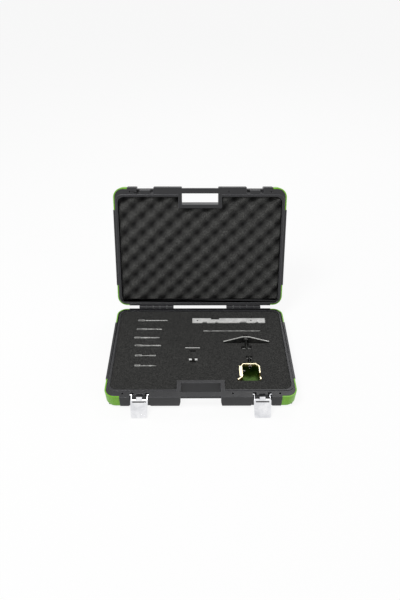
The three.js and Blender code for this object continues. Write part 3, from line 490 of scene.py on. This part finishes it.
def ease(piece, radius_mm, edge_highlight=None):
    """Rounds the piece's sharp edges, gives them the lighter second finish if there is one, a painted
    highlight along the edges, and shades it smooth with its flat faces left flat."""
    # The second finish on the rounded faces is a painted highlight.
    if edge_highlight:
        piece.data.materials.append(edge_highlight)
    apply_modifier(piece, "BEVEL", width=radius_mm * MM, segments=2, limit_method="ANGLE",
                   angle_limit=ROUND_SHARPER_THAN, use_clamp_overlap=True,
                   material=1 if edge_highlight else -1)
    bpy.ops.object.shade_smooth_by_angle(angle=SMOOTH_BELOW)
    apply_modifier(piece, "WEIGHTED_NORMAL", weight=50, keep_sharp=True)


def ease_roomy_edges(piece, radius_mm, edge_highlight=None):
    """Rounds the sharp edges that have room at both ends, so that no radius runs into another."""
    # The second finish on the rounded faces is a painted highlight.
    if edge_highlight:
        piece.data.materials.append(edge_highlight)
    bpy.ops.object.select_all(action="DESELECT")
    piece.select_set(True)
    bpy.context.view_layer.objects.active = piece
    bpy.ops.object.mode_set(mode="EDIT")
    bpy.ops.mesh.select_mode(type="EDGE")
    bpy.ops.mesh.select_all(action="DESELECT")
    mesh = bmesh.from_edit_mesh(piece.data)
    for edge in mesh.edges:
        beside = [other for corner in edge.verts for other in corner.link_edges]
        roomy = min(other.calc_length() for other in beside) > 2 * radius_mm * MM
        edge.select_set(roomy and edge.calc_face_angle(0) > ROOMY_SHARPER_THAN)
    bmesh.update_edit_mesh(piece.data)
    bpy.ops.mesh.bevel(offset=radius_mm * MM, segments=2, clamp_overlap=False,
                       material=1 if edge_highlight else -1)
    bpy.ops.object.mode_set(mode="OBJECT")
    bpy.ops.object.shade_smooth_by_angle(angle=SMOOTH_BELOW)
    apply_modifier(piece, "WEIGHTED_NORMAL", weight=50, keep_sharp=True)


def stand_for(piece, node_name):
    """The piece replaces the node: it joins the node's body, and the node is hidden."""
    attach(piece, nodes[node_name]["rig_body"])
    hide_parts(node_name)


EASED = {  # start of a node's name: radius of its edges in millimetres
    "base_cap": 0.7, "lid_cap": 0.7, "setting_bar": 0.35, "chevron_plate": 0.4,
    "bracket_nut": 0.3, "bracket_tommy": 0.3, "bracket_side": 0.3, "chevron_nut": 0.3,
    "chevron_tommy": 0.3, "setting_plate": 0.25, "forked_insert": 0.4,
    "bracket": 0.4,  # the channel and its clamp screw, after the smaller pieces
}
for name in sorted(nodes):
    radius = next((r for start, r in EASED.items() if name.startswith(start)), None)
    if radius is None:
        continue
    piece = merged_copy(name, name + "_eased")
    # The caps' rounded edges take the lighter lime, a painted highlight.
    ease(piece, radius, edge_highlight=edge_highlight_lime_abs if "_cap_" in name else None)
    stand_for(piece, name)
    print(piece.name, len(piece.data.polygons), "faces")

# %% [markdown]
# ## The trays
# Both trays are one moulding each, with a groove or tongue round the rim and a recess for each latch.
# Their edges have a small radius, and the flat outer faces of the real thing would warp if they were
# plain, so such cases have a sunk panel there. An inset would run into the hand hole, so the panel is
# cut instead: a flat block with rounded corners is laid into the outer face and taken away with a
# Boolean. Then every edge that has room for it gets its radius.

# %% Trays with a sunk outer panel
PANEL_SIZE = (390 * MM, 205 * MM, 2.4 * MM)  # half of its thickness sinks in
PANEL_CORNER = 22 * MM
PANEL_BEHIND = 24 * MM  # its middle, behind the tray's middle, clear of the hand hole
TRAY_RADIUS = 0.6  # in millimetres

lid_hinge = next(joint for joint in frame["joints"] if joint["name"] == "lid_hinge")
HINGE = Vector(lid_hinge["pos_m"])
OPEN_ANGLE = math.radians(abs(lid_hinge["range_deg"][0]))
# Turns the open lid shut, and back: the hinge runs along X.
shut = Matrix.Translation(HINGE) @ Matrix.Rotation(OPEN_ANGLE, 4, "X") @ Matrix.Translation(-HINGE)
reopen = shut.inverted()


def sink_panel(piece, place, size, corner_radius, tilt=0.0):
    """Takes a flat block with round corners out of the piece: its middle is at this place, and it
    leans over about X."""
    bpy.ops.mesh.primitive_cube_add(size=1, scale=size)
    block = bpy.context.object
    bpy.ops.object.transform_apply()
    bpy.ops.object.mode_set(mode="EDIT")
    bpy.ops.mesh.select_mode(type="EDGE")
    bpy.ops.mesh.select_all(action="DESELECT")
    mesh = bmesh.from_edit_mesh(block.data)
    for edge in mesh.edges:
        one, two = (corner.co for corner in edge.verts)
        edge.select_set(abs(one.z - two.z) > size[2] / 2)
    bmesh.update_edit_mesh(block.data)
    bpy.ops.mesh.bevel(offset=corner_radius, segments=6)
    bpy.ops.object.mode_set(mode="OBJECT")
    block.location, block.rotation_euler = place, (tilt, 0, 0)
    bpy.ops.object.transform_apply()
    apply_modifier(piece, "BOOLEAN", object=block, operation="DIFFERENCE", solver="EXACT")
    bpy.data.objects.remove(block)


for name in ("base_shell", "lid_shell"):
    tray = merged_copy(name, name.replace("shell", "tray"))
    swing = shut if name == "lid_shell" else Matrix.Identity(4)
    tray.data.transform(swing)
    heights = [vertex.co.z for vertex in tray.data.vertices]
    outer_face = max(heights) if name == "lid_shell" else min(heights)
    sink_panel(tray, (0, PANEL_BEHIND, outer_face), PANEL_SIZE, PANEL_CORNER)
    tray.data.transform(swing.inverted())
    # The rounded edges take the lighter plastic, a painted highlight.
    ease_roomy_edges(tray, TRAY_RADIUS, edge_highlight=edge_highlight_polypropylene)
    stand_for(tray, name)
    print(tray.name, len(tray.data.polygons), "faces")

# %% [markdown]
# ## Egg-crate foam in the lid
# Convoluted foam is a slab that was squeezed between rollers and slit, so one side comes out in rows of
# soft bumps and pits. It could be built from many bumps, but the whole face is one smooth wave. So we
# swing the slab shut, where it lies flat, remesh it into small squares, and push every point of its
# face up by a product of two waves. The wave leans on one diagonal, since the slit follows the feed of
# the rollers, and fades out at the glued edge.

# %% Lid foam
PITCH_ACROSS, PITCH_ALONG = 51 * MM, 49 * MM  # between two pits in a row, and between rows
FIRST_PIT = (-212 * MM, 211.7 * MM)  # x, and the way up from the hinge edge
PIT_DEPTH = 17 * MM
BACK_WALL = HINGE.y - 5 * MM  # the hinge stands this far behind the walls
DIAGONAL = 0.66  # share of the wave along the rollers' diagonal
SQUARE = 3.4 * MM  # of the remeshed foam
GLUED_SHARE = 1.6  # how soon the wave fades towards the glued side
PIT_NARROWING = 1.3  # above 1, pits are narrower than bumps

foam = merged_copy("lid_foam", "lid_egg_crate_foam")
foam.data.transform(shut)
apply_modifier(foam, "REMESH", mode="VOXEL", voxel_size=SQUARE)
low, high = (min(v.co.z for v in foam.data.vertices), max(v.co.z for v in foam.data.vertices))
pit_shade_shares = []
for vertex in foam.data.vertices:
    x, y, z = vertex.co
    share = max(0.0, 1 - (z - low) / (high - low) * GLUED_SHARE)
    a = 2 * math.pi * (x - FIRST_PIT[0]) / PITCH_ACROSS
    b = 2 * math.pi * (BACK_WALL - y - FIRST_PIT[1]) / PITCH_ALONG
    wave = DIAGONAL * math.cos(a - b) + (1 - DIAGONAL) * math.cos(a + b)
    pit_shade = share * (0.5 + 0.5 * wave) ** PIT_NARROWING
    pit_shade_shares.append(pit_shade)
    vertex.co.z += PIT_DEPTH * pit_shade
# The same share is kept on the mesh, so that the material paints shade into the deep pits.
foam.data.attributes.new("pit_shade", "FLOAT", "POINT").data.foreach_set("value", pit_shade_shares)
foam.data.transform(reopen)
apply_modifier(foam, "SMOOTH", factor=0.5, iterations=2)
bpy.ops.object.shade_smooth()
stand_for(foam, "lid_foam")
print(foam.name, len(foam.data.polygons), "faces, pits", PIT_DEPTH / MM, "mm deep")

# %% [markdown]
# ## Foam plank in the base
# The tools lie in a plank of denser foam, cut through by water jet, so its face is dead flat and each
# pocket follows its tool. A cut cell has no sharp corner: the edge of every pocket is a soft line. The
# measured plank has the pockets already, so we take a copy and round each edge that has room. It keeps
# its own triangles, because one whole face with so many holes in it would be filled wrongly.

# %% Base foam
PLANK_RADIUS = 0.7  # in millimetres

plank = merged_copy("base_foam", "base_plank_foam", whole_faces=False)
ease_roomy_edges(plank, PLANK_RADIUS)
stand_for(plank, "base_foam")
print(plank.name, len(plank.data.polygons), "faces")

# %% [markdown]
# ## Draw latches
# Each latch is a wire link and a pressed lever. A pressing is stiffened by a sunk field in its middle.
# An inset could make it, but the slot above cuts the face into odd shapes, so the field is cut out as
# the trays' panels are, by a block that leans as the lever does. The wire has a plain bend at each
# corner and only needs smooth shading.

# %% Levers and links
FIELD_SIZE = (30 * MM, 25 * MM, 0.7 * MM)  # half of its thickness sinks in
FIELD_CORNER = 3 * MM
LEVER_RADIUS = 0.3  # in millimetres
FRONT_AND_UP = Vector((0, -0.7, 0.7))

for side in ("left", "right"):
    lever = merged_copy(f"latch_lever_{side}", f"lever_{side}_pressing")
    facing = [face for face in lever.data.polygons if face.normal.dot(FRONT_AND_UP) > 0.5]
    face = max(facing, key=lambda one: one.area)
    corners = [lever.data.vertices[index].co for index in face.vertices]
    low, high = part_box(f"latch_lever_{side}")
    middle = (min(corners, key=lambda c: c.z) + max(corners, key=lambda c: c.z)) / 2
    middle.x = (low.x + high.x) / 2
    tilt = math.atan2(-face.normal.y, face.normal.z)
    sink_panel(lever, middle, FIELD_SIZE, FIELD_CORNER, tilt)
    ease(lever, LEVER_RADIUS)
    stand_for(lever, f"latch_lever_{side}")
    link = merged_copy(f"latch_link_{side}", f"link_{side}_wire")
    bpy.ops.object.shade_smooth_by_angle(angle=math.radians(50))
    stand_for(link, f"latch_link_{side}")
    print(lever.name, "leans", round(math.degrees(tilt), 1), "degrees")

# %% [markdown]
# ## Knurled heads
# The timing pins are pushed in and pulled out with oily fingers, so their heads are knurled: a wheel
# presses two crossing sets of grooves that leave small diamonds. A fine grid can make the diamonds, as
# every second point of a tube stands up between its neighbours. We grow the tube ring by ring with
# extrude, then swell every second point along its normal. Each head's place and size are measured on
# its pin. The real pitch is about a millimetre; here it is a little coarser, to be seen.

# %% Knurled sleeve on each pin
AROUND = 22  # points round the sleeve, an even number
HEAD_SHARE = 0.97  # points this far out belong to the head
KNURL_STEP, KNURL_RISE, SLEEVE_SKIN, CHAMFER = 1.3 * MM, 0.38 * MM, 0.06 * MM, 0.7 * MM


def grow(step, scale=1.0):
    """Extrudes the selected end face along the pin, and scales it."""
    bpy.ops.mesh.extrude_region_move(TRANSFORM_OT_translate={"value": (step, 0, 0)})
    if scale != 1.0:
        bpy.ops.transform.resize(value=(1, scale, scale))


for number in range(1, 7):
    pin = nodes[f"timing_pin_{number}"]
    low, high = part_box(pin.name)
    axis_y, axis_z, radius = (low.y + high.y) / 2, (low.z + high.z) / 2, (high.y - low.y) / 2
    wide = [v.co.x for v in pin.data.vertices
            if math.hypot(v.co.y - axis_y, v.co.z - axis_z) > HEAD_SHARE * radius]
    start, end = min(wide) + CHAMFER, max(wide) - CHAMFER
    base = radius + SLEEVE_SKIN
    bpy.ops.mesh.primitive_circle_add(vertices=AROUND, radius=base - CHAMFER / 2, fill_type="NGON",
                                      location=(start - CHAMFER, axis_y, axis_z),
                                      rotation=(0, math.pi / 2, 0))
    sleeve = bpy.context.object
    sleeve.name = f"timing_pin_{number}_knurl"
    bpy.ops.object.transform_apply()
    bpy.ops.object.mode_set(mode="EDIT")
    grow(CHAMFER, base / (base - CHAMFER / 2))
    rings = max(4, round((end - start) / KNURL_STEP))
    for _ in range(rings):
        grow((end - start) / rings)
    grow(CHAMFER, (base - CHAMFER / 2) / base)
    bpy.ops.mesh.select_all(action="SELECT")
    bpy.ops.mesh.normals_make_consistent(inside=False)
    bpy.ops.mesh.select_all(action="DESELECT")
    bpy.ops.mesh.select_mode(type="VERT")
    mesh = bmesh.from_edit_mesh(sleeve.data)
    for vertex in mesh.verts:
        ring = round((vertex.co.x - start) / (end - start) * rings)
        turn = round(math.atan2(vertex.co.z - axis_z, vertex.co.y - axis_y) / (2 * math.pi) * AROUND)
        if 0 < ring < rings and (ring + turn) % 2 == 0:
            vertex.select_set(True)
    mesh.select_flush_mode()
    bmesh.update_edit_mesh(sleeve.data)
    bpy.ops.transform.shrink_fatten(value=KNURL_RISE)
    bpy.ops.object.mode_set(mode="OBJECT")
    sleeve.data.materials.append(tool_steel)
    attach(sleeve, f"timing_pin_{number}")
    print(sleeve.name, "length", round((end - start) / MM, 1), "mm,", rings, "rings")

# %% [markdown]
# The finished model must still fill the same box as the measured one. The last line prints how far
# each side of the box has grown, in millimetres.

# %% Sizes and finish
visual_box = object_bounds()
grown = [round((b - a) / MM, 2) for one, two in zip(cad_box, visual_box) for a, b in zip(one, two)]
print("grown by", grown, "mm")
